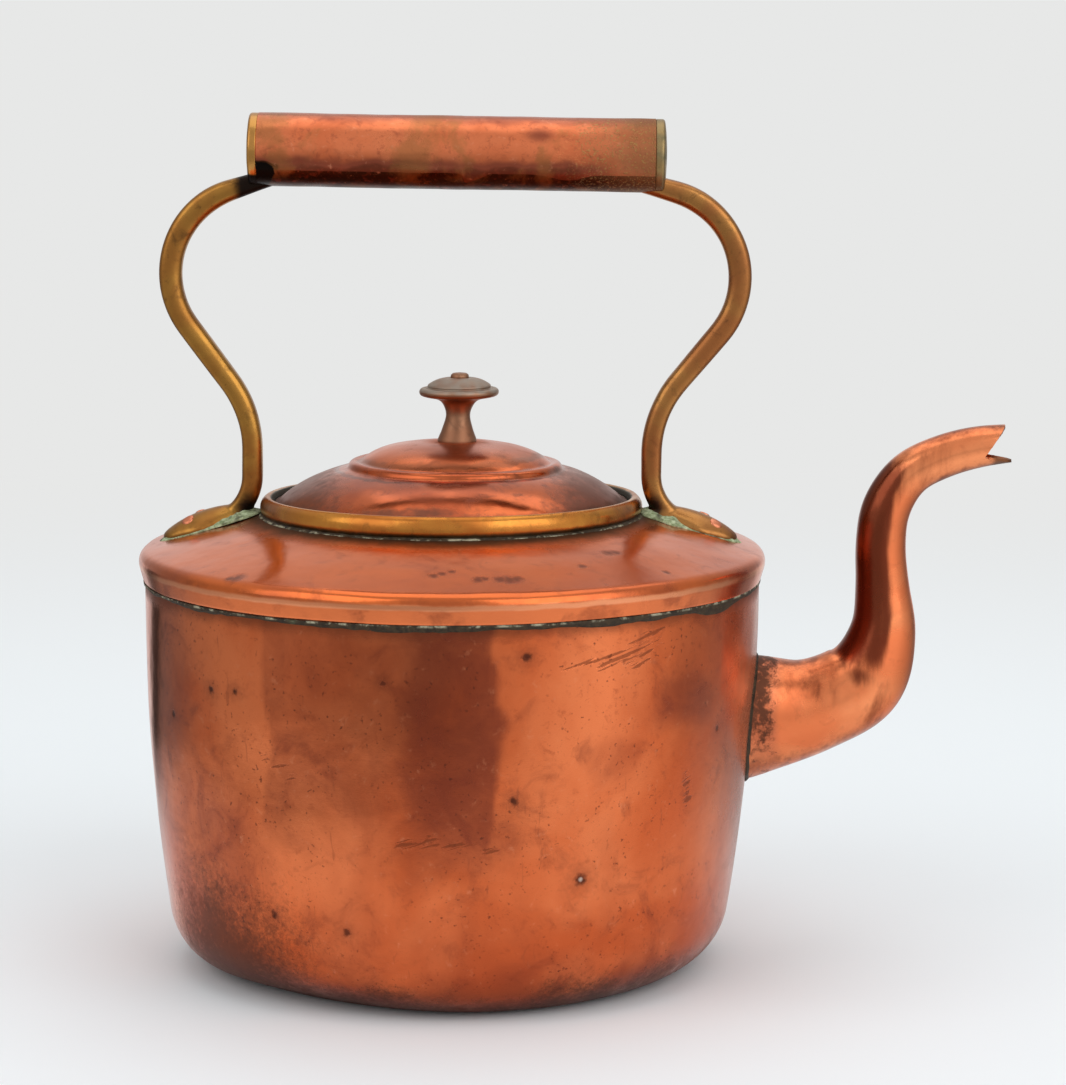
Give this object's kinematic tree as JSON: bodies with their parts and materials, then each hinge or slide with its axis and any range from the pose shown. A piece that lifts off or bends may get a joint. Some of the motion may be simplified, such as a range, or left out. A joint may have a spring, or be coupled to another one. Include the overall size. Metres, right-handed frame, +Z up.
{
  "type": "stove kettle",
  "caption": "Round copper stove kettle with a swan-neck spout, lift-off domed lid with a turned knob, brass neck ring and a fixed tubular grip on curved brass arms.",
  "frame": {"origin": "middle of the base's underside, on the surface that the kettle stands on", "axes": "+Z up, +X towards the spout, +Y to the left of the spout seen from behind the kettle"},
  "size_m": [0.2885, 0.2078, 0.2827],
  "materials": {
    "body_copper": "worn polish with brown tarnish",
    "base_copper": "dull, darkened by the stove",
    "shoulder_copper": "worn polish",
    "spout_copper": "worn polish",
    "grip_copper": "worn polish",
    "lid_copper": "worn polish",
    "rivet_copper": "dull",
    "ring_brass": "satin",
    "arm_brass": "satin, pitted",
    "cap_brass": "satin",
    "knob_brass": "satin",
    "brazing": "dull",
    "solder": "dull grey-green",
    "spout_solder": "dull, darkened",
    "verdigris": "pale green, chalky",
    "tinned_copper": "dull tin"
  },
  "bodies": {
    "kettle": {"body_wall": "body_copper", "wall_seam": "brazing", "base_plate": "base_copper", "base_seam": "brazing", "shoulder": "shoulder_copper", "lip_solder": "solder", "neck_ring": "ring_brass", "ring_solder": "solder", "spout_tube": "spout_copper", "spout_collar": "spout_solder", "handle_arm_front": "arm_brass", "handle_arm_rear": "arm_brass", "handle_rivets": "rivet_copper", "foot_solder": "verdigris", "grip_tube": "grip_copper", "grip_cap_front": "cap_brass", "grip_cap_rear": "cap_brass"},
    "lid": {"lid_dome": "lid_copper", "lid_skirt": "tinned_copper", "lid_knob": "knob_brass", "knob_pin": "rivet_copper", "knob_washer": "tinned_copper"}
  },
  "joints": [
    {"name": "lid_lift", "type": "slide", "parent": "kettle", "child": "lid", "axis": [0, 0, 1], "range_m": [0, 0.05]}
  ]
}
